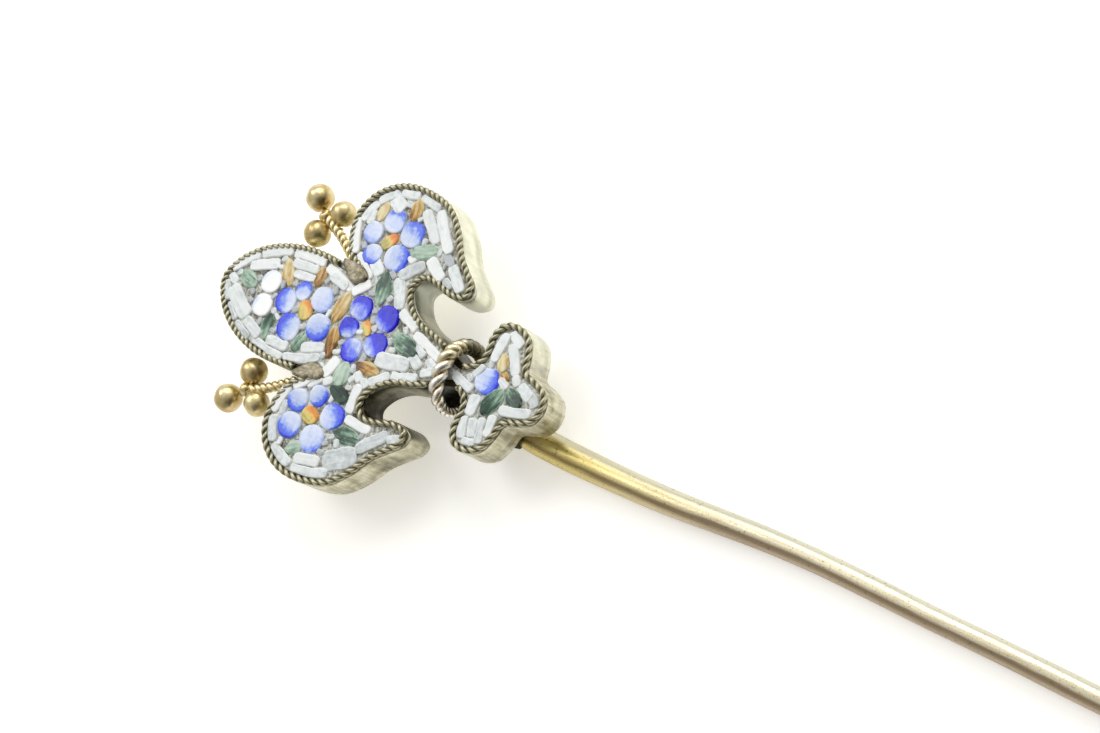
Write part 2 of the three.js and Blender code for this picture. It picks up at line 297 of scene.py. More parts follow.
class Look:
    """A material under construction: a Principled shader with node helpers."""

    def __init__(self, name, **settings):
        self.material = bpy.data.materials.new(name)
        self.material.use_nodes = True
        self.nodes = self.material.node_tree.nodes
        self.shader = self.nodes["Principled BSDF"]
        for socket, value in settings.items():
            self.shader.inputs[socket.replace("_", " ")].default_value = value

    def join(self, value, socket):
        if isinstance(value, bpy.types.NodeSocket):
            self.material.node_tree.links.new(value, socket)
        else:
            socket.default_value = value

    def add(self, kind, inputs, output=0, **settings):
        node = self.nodes.new(kind)
        for setting, value in settings.items():
            setattr(node, setting, value)
        for socket, value in inputs.items():
            self.join(value, node.inputs[socket])
        return node.outputs[output]

    def millimetres(self):
        """The place on the piece, in millimetres."""
        where = self.add("ShaderNodeTexCoord", {}, "Object")
        return self.add("ShaderNodeVectorMath", {0: where, "Scale": 1000.0}, operation="SCALE")

    def attribute(self, name, output="Fac"):
        return self.add("ShaderNodeAttribute", {}, output, attribute_name=name)

    def axis(self, vector, letter):
        return self.add("ShaderNodeSeparateXYZ", {0: vector}, letter)

    def maths(self, operation, first, second=0.0):
        return self.add("ShaderNodeMath", {0: first, 1: second}, operation=operation)

    def stretched(self, vector, scale):
        return self.add("ShaderNodeVectorMath", {0: vector, 1: scale}, operation="MULTIPLY")

    def noise(self, vector, scale, detail=3.0, roughness=0.55):
        inputs = {"Vector": vector, "Scale": scale, "Detail": detail, "Roughness": roughness}
        return self.add("ShaderNodeTexNoise", inputs, "Fac")

    def ramp(self, factor, stops):
        """A colour for each factor; a stop is its position and its red, green and blue."""
        node = self.nodes.new("ShaderNodeValToRGB")
        elements = node.color_ramp.elements
        while len(elements) < len(stops):
            elements.new(0.5)
        for element, (position, *colour) in zip(elements, stops):
            element.position = position
            element.color = rgb(*colour)
        self.join(factor, node.inputs[0])
        return node.outputs[0]

    def mix(self, factor, first, second, blend="MIX"):
        node = self.nodes.new("ShaderNodeMix")
        node.data_type = "RGBA"
        node.blend_type = blend
        for index, value in ((0, factor), (6, first), (7, second)):
            self.join(value, node.inputs[index])
        return node.outputs[2]

    def remap(self, value, low, high, to_low, to_high):
        inputs = {"Value": value, 1: low, 2: high, 3: to_low, 4: to_high}
        return self.add("ShaderNodeMapRange", inputs)

    def colour(self, value):
        self.join(value, self.shader.inputs["Base Color"])

    def rough(self, pattern, low, high):
        """Roughness from low to high as a noise goes from 0.3 to 0.7."""
        self.join(self.remap(pattern, 0.3, 0.7, low, high), self.shader.inputs["Roughness"])

    def bump(self, height, depth_mm, strength=1.0):
        inputs = {"Height": height, "Distance": depth_mm * MM, "Strength": strength}
        self.join(self.add("ShaderNodeBump", inputs), self.shader.inputs["Normal"])


def case_look():
    """Pale brass with filing marks down the wall, painted lighter towards +X as if lit from that side, and
    tarnish with painted shade in deep corners and round the neck.
    """
    look = Look("pale brass case", Metallic=1.0)
    place = look.millimetres()
    patches = look.noise(place, 1.1, 4)
    filed = look.noise(look.stretched(place, (7.0, 7.0, 0.8)), 1.0, 4)
    tone = look.mix(0.4, patches, filed)
    clean = look.ramp(tone, [
        (0.36, 140, 136, 114), (0.45, 178, 173, 148), (0.53, 206, 201, 174),
        (0.6, 226, 223, 204),
    ])
    # Tarnish with painted shade: near black, for deep corners, hooks and the neck.
    tarnish_and_painted_shade = look.ramp(patches, [(0.35, 20, 22, 22), (0.7, 74, 68, 50)])
    # Painted light: towards +X the brass is mixed towards a pale colour, and its dark corners turn pale
    # grey there.
    painted_light_side = look.remap(look.axis(place, "X"), 0.8, 3.0, 0.0, 1.0)
    clean = look.mix(look.maths("MULTIPLY", painted_light_side, 0.6), clean, rgb(246, 248, 230))
    tarnish_and_painted_shade = look.mix(painted_light_side, tarnish_and_painted_shade, look.mix(0.6, clean, rgb(168, 172, 172)))
    # Painted shade with tarnish: the deeper a wall point lies in a hook or near the neck, the darker it is
    # painted.
    shade_and_tarnish_amount = look.maths("ADD", look.attribute("recess"), patches)
    look.colour(look.mix(look.remap(shade_and_tarnish_amount, 0.68, 1.05, 0.0, 0.97), clean, tarnish_and_painted_shade))
    look.rough(filed, 0.36, 0.52)
    look.bump(look.mix(0.5, filed, patches), 0.03, 0.5)
    return look.material


def wire_look(name, groove, flank, crown, roughness, side=None):
    """Twisted wire: tarnish and painted shade lie in the grooves, and wear and a painted highlight
    brighten the crowns.

    A side colour tints the wire where it stands to the right of the head's middle, and what is low and
    further right than that is painted nearly black, as shade with tarnish.
    """
    look = Look(name, Metallic=1.0)
    place = look.millimetres()
    grime = look.noise(place, 5.0, 4)
    reach = look.attribute("reach")
    # How far out each point stands picks its colour: tarnish with painted shade in the grooves, wear with
    # a painted highlight on the crowns.
    worn = look.mix(0.34, reach, grime)
    tone = look.ramp(worn, [(0.42, *groove), (0.68, *flank), (0.84, *crown)])
    if side:
        x = look.axis(place, "X")
        tone = look.mix(look.remap(x, 0.1, 0.7, 0.0, 0.9), tone, look.mix(0.55, tone, side))
        # Painted shade with tarnish: low points far to the right go nearly black.
        low = look.remap(look.axis(place, "Z"), 3.45, 3.85, 0.95, 0.0)
        shadowed = look.maths("MULTIPLY", look.remap(x, 1.0, 1.3, 0.0, 1.0), low)
        tone = look.mix(shadowed, tone, look.mix(0.2, rgb(34, 38, 38), tone))
    look.colour(tone)
    look.rough(grime, roughness - 0.08, roughness + 0.1)
    look.bump(look.noise(place, 16.0, 3), 0.012, 0.5)
    return look.material


def ball_look():
    look = Look("antique gold balls", Metallic=1.0)
    place = look.millimetres()
    patches = look.noise(place, 1.6, 5)
    gilt = look.ramp(patches, [
        (0.3, 160, 140, 92), (0.5, 204, 186, 136), (0.68, 228, 214, 172),
    ])
    # Painted reflection: warm pinkish patches, placed by noise, stand in for a reflection on the balls.
    painted_reflection_patches = look.remap(look.noise(place, 0.9, 2), 0.52, 0.7, 0.0, 0.3)
    look.colour(look.mix(painted_reflection_patches, gilt, rgb(190, 140, 92)))
    look.rough(look.noise(place, 6.0, 3), 0.26, 0.42)
    look.bump(look.noise(place, 4.0, 3), 0.03, 0.4)
    return look.material


def stem_look():
    """Yellow gilt near the head, worn to champagne further on, with a painted dark reflection line along
    it, painted shade on its -X side further on and a painted pale sheen on its +X side.
    """
    look = Look("stem gilt", Metallic=1.0)
    place = look.millimetres()
    worn = look.remap(look.axis(place, "Y"), 22.5, 14.0, 0.0, 1.0)
    gilt = look.mix(worn, rgb(210, 192, 122), rgb(224, 215, 188))
    drawn = look.noise(look.stretched(place, (6.0, 0.35, 6.0)), 1.0, 4)
    pits = look.noise(place, 7.0, 2)
    stains_and_painted_light = look.mix(look.remap(drawn, 0.48, 0.72, 0.0, 0.5), gilt, rgb(164, 142, 104))
    grit = look.noise(place, 16.0, 2)
    stains_and_painted_light = look.mix(look.remap(grit, 0.56, 0.68, 0.0, 0.45), stains_and_painted_light, rgb(128, 112, 88))
    side = look.mix(0.3, look.attribute("flank"), drawn)
    # Painted dark reflection: a brown line runs along the stem a little to the -X side of its middle.
    from_line = look.maths("ABSOLUTE", look.maths("ADD", side, 0.15))
    stains_and_painted_light = look.mix(look.remap(from_line, 0.04, 0.18, 0.75, 0.0), stains_and_painted_light, rgb(116, 94, 60))
    # Painted shade: the -X side turns brown, fully so further from the head.
    under = look.remap(side, -0.2, -0.02, 0.8, 0.0)
    shaded = look.mix(under, stains_and_painted_light, rgb(150, 130, 108))
    stains_and_painted_light = look.mix(worn, stains_and_painted_light, shaded)
    # Painted sheen: the +X side turns pale.
    pale = look.remap(side, 0.42, 0.62, 0.0, 0.6)
    stains_and_painted_light = look.mix(pale, stains_and_painted_light, rgb(206, 208, 192))
    spots = look.remap(pits, 0.64, 0.72, 0.0, 0.7)
    look.colour(look.mix(spots, stains_and_painted_light, rgb(110, 92, 66)))
    look.rough(drawn, 0.27, 0.4)
    look.bump(look.mix(0.5, drawn, pits), 0.02, 0.35)
    return look.material


def solder_look(name, dull, middling, bright):
    look = Look(name, Metallic=1.0)
    place = look.millimetres()
    lumps = look.noise(place, 3.4, 5, 0.65)
    look.colour(look.ramp(lumps, [(0.35, *dull), (0.5, *middling), (0.65, *bright)]))
    look.rough(lumps, 0.38, 0.6)
    look.bump(lumps, 0.06, 0.6)
    return look.material


def cement_look():
    look = Look("grout", Roughness=0.9)
    place = look.millimetres()
    grains = look.noise(place, 5.5, 5, 0.75)
    stains = look.noise(place, 1.3, 3)
    look.colour(look.ramp(look.mix(0.4, grains, stains), [
        (0.38, 78, 76, 62), (0.46, 150, 148, 134), (0.51, 198, 198, 190),
        (0.58, 236, 238, 232),
    ]))
    look.bump(grains, 0.09, 1.0)
    return look.material


def glass_look(name, stops, streak_share, roughness=0.2, flake_share=0.3):
    """Opaque glass: shade, from 0 to 1 in each piece, picks its colour; streaks and flakes vary it."""
    look = Look(name, Metallic=0.0, IOR=1.5, Specular_IOR_Level=0.36)
    grain = look.attribute("grain", "Vector")
    streaks = look.noise(look.stretched(grain, (1.1, 6.5, 1.0)), 1.0, 4, 0.6)
    flakes = look.noise(look.millimetres(), 4.0, 4, 0.65)
    pattern = look.mix(flake_share, streaks, flakes)
    shade = look.attribute("shade")
    swing = look.remap(pattern, 0.35, 0.65, -streak_share, streak_share)
    look.colour(look.ramp(look.maths("ADD", shade, swing), stops))
    look.rough(flakes, roughness - 0.06, roughness + 0.12)
    look.bump(pattern, 0.03, 0.4)
    return look.material


CASE = case_look()
# Wire colours in the grooves, on the flanks and on the crowns: the grooves hold tarnish with painted
# shade, the crowns wear with a painted highlight.
ROPE = wire_look("antiqued rope wire", (92, 90, 68), (142, 138, 112), (196, 192, 166), 0.46)
RING = wire_look(
    "neck ring wire", (84, 72, 54), (212, 198, 168), (255, 250, 242), 0.3,
    side=rgb(228, 210, 134),
)
STAMEN = wire_look("stamen wire", (122, 100, 58), (200, 178, 122), (250, 236, 190), 0.34)
BALL = ball_look()
STEM = stem_look()
SOLDER = solder_look("grey solder", (112, 104, 84), (152, 144, 124), (188, 180, 162))
# Solder coloured nearly black.
DARK_SOLDER = solder_look("near-black solder", (30, 30, 28), (46, 44, 38), (84, 80, 66))
CEMENT = cement_look()
BLUE = glass_look("blue glass", [
    (0.0, 224, 233, 253), (0.34, 192, 208, 251), (0.5, 152, 176, 249),
    (0.62, 98, 128, 248), (1.0, 50, 74, 238),
], 0.16, 0.14, 0.55)
DEEP_BLUE = glass_look("deep blue glass", [
    (0.0, 206, 218, 251), (0.24, 140, 158, 250), (0.4, 88, 106, 248),
    (0.52, 44, 50, 238), (1.0, 16, 10, 208),
], 0.18, 0.14, 0.55)
WHITE = glass_look("white glass", [
    (0.0, 250, 252, 252), (0.5, 232, 239, 240), (1.0, 182, 188, 194),
], 0.3, 0.22, 0.5)
PEARL = glass_look("pearl white glass", [
    (0.0, 254, 254, 255), (0.5, 248, 251, 255), (0.8, 196, 216, 252),
], 0.06, 0.16)
ORANGE = glass_look("orange glass", [
    (0.0, 186, 178, 96), (0.3, 236, 212, 124), (0.5, 246, 200, 116),
    (0.66, 240, 164, 76), (1.0, 228, 124, 52),
], 0.22, 0.24)
GREEN = glass_look("green glass", [
    (0.0, 206, 224, 208), (0.42, 158, 186, 166), (0.6, 100, 138, 114),
    (0.76, 54, 84, 68), (1.0, 30, 46, 42),
], 0.3, 0.24, 0.35)
AMBER = glass_look("amber glass", [
    (0.0, 232, 220, 176), (0.3, 214, 190, 132), (0.52, 200, 156, 70),
    (0.72, 156, 106, 34), (1.0, 92, 62, 34),
], 0.42, 0.26, 0.25)


# ---- the case ----
def outline_ring(distance, height):
    """The outline at a height, moved into the case by a distance."""
    return np.column_stack([inset(OUTLINE, distance, closed=True), np.full(len(OUTLINE), height)])


def recesses(line):
    """How shut in each point of the closed outline is, from 0 in the open to 1 deep in a hook, and more
    near the neck; the case look paints shade with tarnish by it.
    """
    reach = 4.0
    outward = line - inset(line, 1.0, closed=True)
    heading = np.arctan2(outward[:, 1], outward[:, 0])
    step = np.roll(line, -1, axis=0) - line
    gap = line[None, :] - line[:, None]
    shut = np.zeros(len(line))
    fan = np.radians(np.arange(-70, 71, 20))
    for turn in fan:
        ray = np.stack([np.cos(heading + turn), np.sin(heading + turn)], axis=1)[:, None]
        across = ray[..., 0] * step[None, :, 1] - ray[..., 1] * step[None, :, 0]
        across = np.where(abs(across) < 1e-9, 1e-9, across)
        far = (gap[..., 0] * step[None, :, 1] - gap[..., 1] * step[None, :, 0]) / across
        share = (gap[..., 0] * ray[..., 1] - gap[..., 1] * ray[..., 0]) / across
        hit = (far > 0.05) & (far < reach) & (share >= 0) & (share <= 1)
        nearest = np.where(hit, far, reach).min(axis=1)
        shut += (1 - nearest / reach) / len(fan)
    # Points near the neck get more, so that the cavity round it is painted dark as shade.
    from_neck = np.linalg.norm(line - (0, -0.5), axis=1)
    return shut + 0.8 * np.clip(1.9 - from_neck, 0, 1)


def case_wall():
    """A band around the whole outline, whose section is given as (inset, height)."""
    foot, top = PLATE_THICKNESS + 0.01, WALL_TOP
    corner, worn = 0.05, 0.015
    profile = [
        (0.0, foot), (0.0, 0.8), (0.0, 1.3), (0.0, top - corner), (0.02, top - worn),
        (corner, top), (WALL_THICKNESS - corner, top), (WALL_THICKNESS - worn, top - worn),
        (WALL_THICKNESS, top - corner), (WALL_THICKNESS, foot),
    ]
    vertices, faces = loft(np.stack([outline_ring(*at) for at in profile], axis=1), closed=True)
    recess = np.repeat(recesses(OUTLINE), len(profile))
    piece("fine_case_wall", "case_brass", CASE, vertices, faces, "case_wall", recess=recess)


def back_plate():
    """A flat sheet with its lower edge rounded over."""
    corner = 0.07
    levels = [(corner, 0.0), (0.02, 0.02), (0.0, corner), (0.0, PLATE_THICKNESS)]
    vertices, faces = loft(np.array([outline_ring(*level) for level in levels]))
    recess = np.tile(recesses(OUTLINE), len(levels))
    recess[:len(OUTLINE)] = 0
    piece("fine_back_plate", "case_brass", CASE, vertices, faces, "back_plate", False, recess=recess)


def cement_bed():
    """A rough cement surface between the walls, closed below."""
    spacing, jitter = 0.16, 0.05
    edge = resample(inset(OUTLINE, WALL_THICKNESS + 0.02, closed=True), 0.2)[:-1]
    inside = []
    for x in np.arange(-7.4, 7.4, spacing):
        for y in np.arange(-5.9, 13.6, spacing):
            aside, ahead = ripple((x, y), 3, 1), ripple((x, y), 3, 2)
            inside.append(Vector((x + jitter * aside, y + jitter * ahead)))
    ring = [Vector(p) for p in edge]
    edges = [(i, (i + 1) % len(ring)) for i in range(len(ring))]
    flat, _, triangles, *_ = geometry.delaunay_2d_cdt(ring + inside, edges, [], 1, 1e-6)
    height = [GROUT_TOP + 0.03 * ripple(p, 2.2, 3) + 0.035 * ripple(p, 6, 4) for p in flat]
    top = np.array([(p.x, p.y, h) for p, h in zip(flat, height)])
    base = top.copy()
    base[:, 2] = PLATE_THICKNESS + 0.02
    count = len(top)
    faces = [list(t) for t in triangles] + [[i + count for i in reversed(t)] for t in triangles]
    sides = dict.fromkeys((t[i], t[(i + 1) % 3]) for t in triangles for i in range(3))
    for a, b in sides:
        if (b, a) not in sides:
            faces.append([b, a, a + count, b + count])
    vertices = np.vstack([top, base])
    piece("fine_cement_bed", "cement", CEMENT, vertices, faces, "cement_bed")


def rope(node, line, pitch, before=(), after=()):
    """A rope wire on the wall's top, with any points beyond its line that its ends bend to."""
    points = [*before, *inset(line, ROPE_INSET)[::3], *after]
    path = smooth(points, 0.05)
    path = np.column_stack([path, np.full(len(path), ROPE_Z)])
    vertices, faces, reach = twisted_wire(path, ROPE_RADIUS, pitch, 12)
    piece("fine_" + node, "rope_wire", ROPE, vertices, faces, node, reach=reach)


def ropes():
    """One around the petal, one around each lobe that ends in its notch, and one around the foot."""
    notch_end = np.array(LOBE_ROPE_END)
    cut = 8
    lobes = LOWER_LINE[LOWER_LINE[:, 1] > 0.12]
    right, left = lobes[lobes[:, 0] > 0], lobes[lobes[:, 0] < 0]
    rope("petal_rope", PETAL_LINE[cut:-cut], FINE_PITCH)
    rope("right_lobe_rope", right[cut:], FINE_PITCH, before=[notch_end])
    rope("left_lobe_rope", left[:-cut], COARSE_PITCH, after=[notch_end * (-1, 1)])
    rope("foot_rope", LOWER_LINE[LOWER_LINE[:, 1] < -0.95], COARSE_PITCH)


def neck_ring():
    """Heavy over the neck's front, finer and more tightly twisted where it turns down the sides."""
    path = smooth([
        (-1.05, -1.3, 0.45), (-1.55, -1.15, 1.0), (-1.7, -0.95, 1.6), (-1.2, -0.55, 2.22),
        (0, -0.38, 2.45), (0.85, -0.46, 2.32), (1.33, -0.66, 1.82), (1.35, -0.9, 1.05),
        (1.0, -1.1, 0.45),
    ], 0.03)
    # Each is a share of the way from left to right, and the value there.
    radius = [(0, 0.2), (0.2, 0.25), (0.38, 0.38), (0.58, 0.4), (0.68, 0.38), (0.85, 0.38), (1, 0.33)]
    pitch = [(0, 0.46), (0.27, 0.5), (0.34, 1.35), (0.6, 1.35), (0.66, 0.6), (1, 0.56)]
    across = np.linspace(0, 1, len(path))
    radii, pitches = (np.interp(across, *zip(*stages)) for stages in (radius, pitch))
    vertices, faces, reach = twisted_wire(path, radii, pitches, 16, 0.8)
    piece("fine_neck_ring", "rope_wire", RING, vertices, faces, "neck_ring", reach=reach)


def lumpy_ball(centre, radius, unevenness, seed):
    """An almost round ball: rings from pole to pole, pushed in and out by smooth noise."""
    rings = []
    for polar in np.linspace(0.02, np.pi - 0.02, 25):
        ring = []
        for turn in np.linspace(0, 2 * np.pi, 36, endpoint=False):
            way = np.array([
                math.sin(polar) * math.cos(turn), math.sin(polar) * math.sin(turn), math.cos(polar),
            ])
            push = 1 + unevenness * noise.noise(Vector(way * 1.4) + Vector((seed * 3.1, seed, 0)))
            ring.append(np.array(centre) + way * radius * push)
        rings.append(ring)
    return loft(np.array(rings))


def middle(node):
    """A CAD node's centre and half sizes, in head millimetres."""
    low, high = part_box(node)
    return np.array((low + high) / 2 - NECK) / MM, np.array(high - low) / 2 / MM


def stamens():
    for sign, side in ((1, "right"), (-1, "left")):
        root = np.array((3.13 * sign, 7.62, 1.1))
        hub = np.array((4.6 * sign, 10.15, 1.1))
        bow = np.array((0.12 * sign, -0.06, 0.05))
        path = smooth([root, (root + hub) / 2 + bow, hub], 0.05)
        widths = STAMEN_RADIUS * np.linspace(0.78, 1.0, len(path))
        wire = twisted_wire(path, widths, 0.68, 14)
        bead_vertices, bead_faces = lumpy_ball(hub, 0.35, 0.25, 2 + sign)
        bead = (bead_vertices, bead_faces, np.full(len(bead_vertices), 0.85))
        vertices, faces, reach = gathered([wire, bead])
        name = f"{side}_stamen_wire"
        piece("fine_" + name, "rope_wire", STAMEN, vertices, faces, name, reach=reach)
        for number, which in enumerate(("outer", "inner", "lower")):
            node = f"{side}_stamen_ball_{which}"
            centre, half = middle(node)
            vertices, faces = lumpy_ball(centre, half.max() * BALL_GROWTH, 0.05, number + 5 * sign)
            piece("fine_" + node, "ball_gold", BALL, vertices, faces, node)


# The right notch's solder from above, and its levels as (share of that outline, height).
WEDGE = [
    (3.0, 7.45), (2.78, 7.42), (2.4, 7.0), (2.05, 6.5), (2.12, 6.05), (2.45, 5.64), (2.74, 5.82),
    (3.02, 6.6),
]
WEDGE_FOOT = 1.7
WEDGE_LEVELS = [
    (1, WEDGE_FOOT), (1, 2.02), (0.95, 2.12), (0.86, 2.18), (0.65, 2.2), (0.4, 2.2), (0.1, 2.2),
]


def notch_solder():
    """Lumpy solder that fills each notch between the petal and a lobe and covers the ropes' ends."""
    for sign, side in ((1, "right"), (-1, "left")):
        points = [(x * sign, y) for x, y in WEDGE][::sign]
        rim = smooth(points + points[:1], 0.06)[:-1]
        centre = rim.mean(axis=0)
        rings = []
        for share, height in WEDGE_LEVELS:
            flat = centre + (rim - centre) * share
            lumps = np.array([0.05 * ripple(p, 2.6, 9) + 0.035 * ripple(p, 7, 4) for p in flat])
            rings.append(np.column_stack([flat, height + lumps * (height > WEDGE_FOOT)]))
        vertices, faces = loft(np.array(rings))
        piece(f"{side}_notch_solder", "solder", SOLDER, vertices, faces)


# ---- the stem ----
def stem_sections():
    """Places and radii along the CAD stem, from its own rings of vertices: x, y, z and radius."""
    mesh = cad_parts["pin_stem"].data
    points = (np.array([v.co for v in mesh.vertices]) - np.array(NECK)) / MM
    sections = []
    for y in np.unique(points[:, 1].round(2))[::-1]:
        ring = points[abs(points[:, 1] - y) < 0.02]
        low, high = ring.min(axis=0), ring.max(axis=0)
        x, z = (low + high)[[0, 2]] / 2
        sections.append((x, y, z, (high - low)[0] / 2))
    return sections


def stem():
    sections = [s for s in stem_sections() if s[3] > 0.02]
    course = smooth(sections, 0.25)
    centre, radii = course[:, :3], course[:, 3].copy()
    for i, (x, y, _) in enumerate(centre):
        radii[i] *= 1 + 0.018 * ripple((y * 0.35, x), 1.0, 6)
    floor = -NECK.z / MM
    centre[:, 2] = np.maximum(centre[:, 2], floor + radii + 0.005)
    rings = tube_rings(centre, radii, 28)
    # Which side of the stem each vertex lies on, from -1 at -X to 1 at +X; the stem's look paints shade
    # and sheen by it.
    flank = (rings[:, :, 0] - centre[:, :1]) / radii[:, None]
    vertices, faces = loft(rings)
    piece("fine_pin_stem", "stem_gold", STEM, vertices, faces, "pin_stem", flank=flank.ravel())


def solder_saddle():
    """Solder that fills the corners between the stem and the plate, concave on both sides."""
    start, length = 2.9, 6.9
    under_plate, stem_z = -0.004, -0.8
    hug = STEM_RADIUS + 0.006
    rings = []
    for y in np.linspace(start, start - length, 60):
        x = 0.15 + (y - 3.2) * 0.17
        end = math.sin(math.pi * np.clip((start - y) / length, 0.03, 0.97)) ** 0.35
        half = (1.12 + 0.14 * ripple((y, 0), 0.9, 7)) * (0.62 + 0.38 * end)
        turns = np.radians(np.linspace(-8, 188, 15))
        around_stem = [(x + hug * math.cos(a), stem_z + hug * math.sin(a)) for a in turns]
        hollows = []
        for sign in (1, -1):
            foot = np.array((x + sign * half, under_plate))
            toe = np.array((x + sign * (hug + 0.1), stem_z - 0.12))
            knee = np.array((x + sign * (hug + 0.16), -0.3))
            hollows.append([
                (1 - t) ** 2 * foot + 2 * t * (1 - t) * knee + t * t * toe for t in (0.3, 0.6, 0.85)
            ])
        right, left = hollows
        section = [(x + half, under_plate), *right, *around_stem, *left[::-1], (x - half, under_plate)]
        rings.append([(px, y, pz) for px, pz in section])
    vertices, faces = loft(np.array(rings))
    piece("fine_stem_solder", "solder", DARK_SOLDER, vertices, faces, "stem_solder")


# ---- glass ----
def footprint(node):
    """A CAD tessera seen from above: centre, half length, half width and the long side's angle."""
    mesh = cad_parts[node].data
    points = (np.array([v.co for v in mesh.vertices]) - np.array(NECK))[:, :2] / MM
    points = np.unique(points.round(4), axis=0)
    centre = (points.min(axis=0) + points.max(axis=0)) / 2
    spread = points - points.mean(axis=0)
    _, _, axes = np.linalg.svd(spread, full_matrices=False)
    reach = [abs(spread @ axis).max() for axis in axes]
    return centre, reach[0], reach[1], math.atan2(axes[0][1], axes[0][0])


class Tessera:
    """One piece of glass: its outline from above, its height, and the shade of each spot on it.

    It lies along an angle, with half sizes along and across it. A squareness of 2 makes it oval and
    more makes it square, point gives it sharp ends and bow bends it sideways. Growth is how far it
    may spread to meet its neighbours.
    """

    def __init__(self, centre, long_half, short_half, angle, squareness, growth, bow=0.0, point=False):
        self.centre = np.array(centre, float)
        self.long_half, self.short_half = long_half, short_half
        self.ahead = np.array([math.cos(angle), math.sin(angle)])
        self.beside = np.array([-self.ahead[1], self.ahead[0]])
        self.bow = bow
        self.growth = growth
        self.seed = chance.uniform(0, 60)
        self.top = GLASS_TOP + chance.uniform(-0.02, 0.03)
        self.lean = np.array([chance.uniform(-0.05, 0.05) for _ in range(2)])
        turns = np.linspace(0, 2 * np.pi, 400, endpoint=False)
        power = 2 / squareness
        u = long_half * np.sign(np.cos(turns)) * abs(np.cos(turns)) ** (1.0 if point else power)
        v = short_half * np.sign(np.sin(turns)) * abs(np.sin(turns)) ** (1.7 if point else power)
        v += bow * (1 - (u / long_half) ** 2)
        v += u * chance.uniform(-0.04, 0.04)
        ring = self.centre + u[:, None] * self.ahead + v[:, None] * self.beside
        self.outline = resample(np.vstack([ring, ring[:1]]), 0.075)[:-1]
        self.chip(0.035, 1.8)

    def outward(self):
        step = np.roll(self.outline, -1, axis=0) - np.roll(self.outline, 1, axis=0)
        step /= np.linalg.norm(step, axis=1)[:, None]
        return np.stack([step[:, 1], -step[:, 0]], axis=1)

    def chip(self, depth, scale):
        push = [depth * ripple(p, scale, self.seed) for p in self.outline]
        self.outline = self.outline + self.outward() * np.array(push)[:, None]

    def local(self, points):
        """Points as distances along and across the piece."""
        away = points - self.centre
        return away @ self.ahead, away @ self.beside

    def skin(self, shading):
        """Vertices and faces of the slab with its narrow edge bevel, and rows of grain and shade."""
        out = self.outward()
        rings, levels = [], []
        for back, drop, share in ((0, None, 1.3), (0, 0.1, 1.2), (0.008, 0.035, 1.1), (0.03, 0.008, 1.05)):
            rings.append(self.outline - out * back)
            levels.append((drop, share))
        rim = self.outline - out * 0.055
        u, _ = self.local(rim)
        core = max(self.long_half - self.short_half, 0.0)
        u = np.clip(u, -core, core)
        bend = self.bow * (1 - (u / self.long_half) ** 2)
        spine = self.centre + u[:, None] * self.ahead + bend[:, None] * self.beside
        for share in (1.0, 0.86, 0.72, 0.56, 0.38, 0.2, 0.03):
            rings.append(spine + (rim - spine) * share)
            levels.append((0.0, share))
        vertices, rows = [], []
        for ring, (drop, share) in zip(rings, levels):
            u, v = self.local(ring)
            height = self.top + (ring - self.centre) @ self.lean
            z = np.full(len(ring), GLASS_FOOT) if drop is None else height - drop
            vertices.append(np.column_stack([ring, z]))
            shade = [shading(a, b, share) for a, b in zip(u, v)]
            rows.append(np.column_stack([u + self.seed, v, np.full(len(ring), self.seed), shade]))
        mesh, faces = loft(np.array(vertices))
        return mesh, faces, np.vstack(rows)


TESSERAE = []


def laid(*sizes, **options):
    TESSERAE.append(Tessera(*sizes, **options))
    return TESSERAE[-1]


def settle(border):
    """Spreads every tessera sideways until it nearly meets its neighbours or the rope."""
    grown = [np.zeros(len(t.outline)) for t in TESSERAE]
    for _ in range(5):
        owners = np.concatenate([np.full(len(t.outline), i) for i, t in enumerate(TESSERAE)])
        owners = np.concatenate([owners, np.full(len(border), -1)])
        everything = np.vstack([t.outline for t in TESSERAE] + [border])
        steps = []
        for number, tessera in enumerate(TESSERAE):
            near = np.linalg.norm(everything - tessera.centre, axis=1) < tessera.long_half + 1.0
            others = everything[near & (owners != number)]
            away = np.linalg.norm(others[None] - tessera.outline[:, None], axis=2).min(axis=1)
            step = np.clip((away - GLASS_GAP) / 2, -0.06, tessera.growth - grown[number])
            steps.append(sum(np.roll(step, shift) for shift in range(-3, 4)) / 7)
        for number, tessera in enumerate(TESSERAE):
            tessera.outline = tessera.outline + tessera.outward() * steps[number][:, None]
            grown[number] += steps[number]
    for tessera in TESSERAE:
        tessera.chip(0.014, 9)


def glass(name, slot, look, entries, replaces=None):
    """One piece of the model made of one or more tesserae; entries are (tessera, shading)."""
    vertices, faces, rows = gathered([tessera.skin(shading) for tessera, shading in entries])
    piece(name, slot, look, vertices, faces, replaces, grain=rows[:, :3], shade=rows[:, 3])


def flat_shade(shade):
    return lambda u, v, share: shade - 0.35 * (share > 1)


def faded(first, second, long_half):
    """From the second shade at the back end to the first at the front end, pale at the rim."""
    return lambda u, v, share: first + (second - first) * (0.5 - u / long_half / 2) - 0.3 * (share > 1)


def crescent(tessera, turn, depth):
    """Deepens towards one side, with a clear-edged crescent there and a pale chipped rim."""
    lit = np.array([math.cos(math.radians(turn)), math.sin(math.radians(turn))])
    along, beside = tessera.ahead @ lit, tessera.beside @ lit
    size = tessera.short_half

    def shading(u, v, share):
        side = (u * along + v * beside) / size
        from_bright_side = math.hypot(u + along * size * 0.4, v + beside * size * 0.4)
        clear = 0.24 if from_bright_side > size * 0.98 else 0.0
        fleck = 0.14 * ripple((u, v), 2.6, tessera.seed)
        return float(np.clip(depth * (0.42 + 0.45 * side + clear) + fleck - 0.3 * (share > 1.07), 0, 1))

    return shading


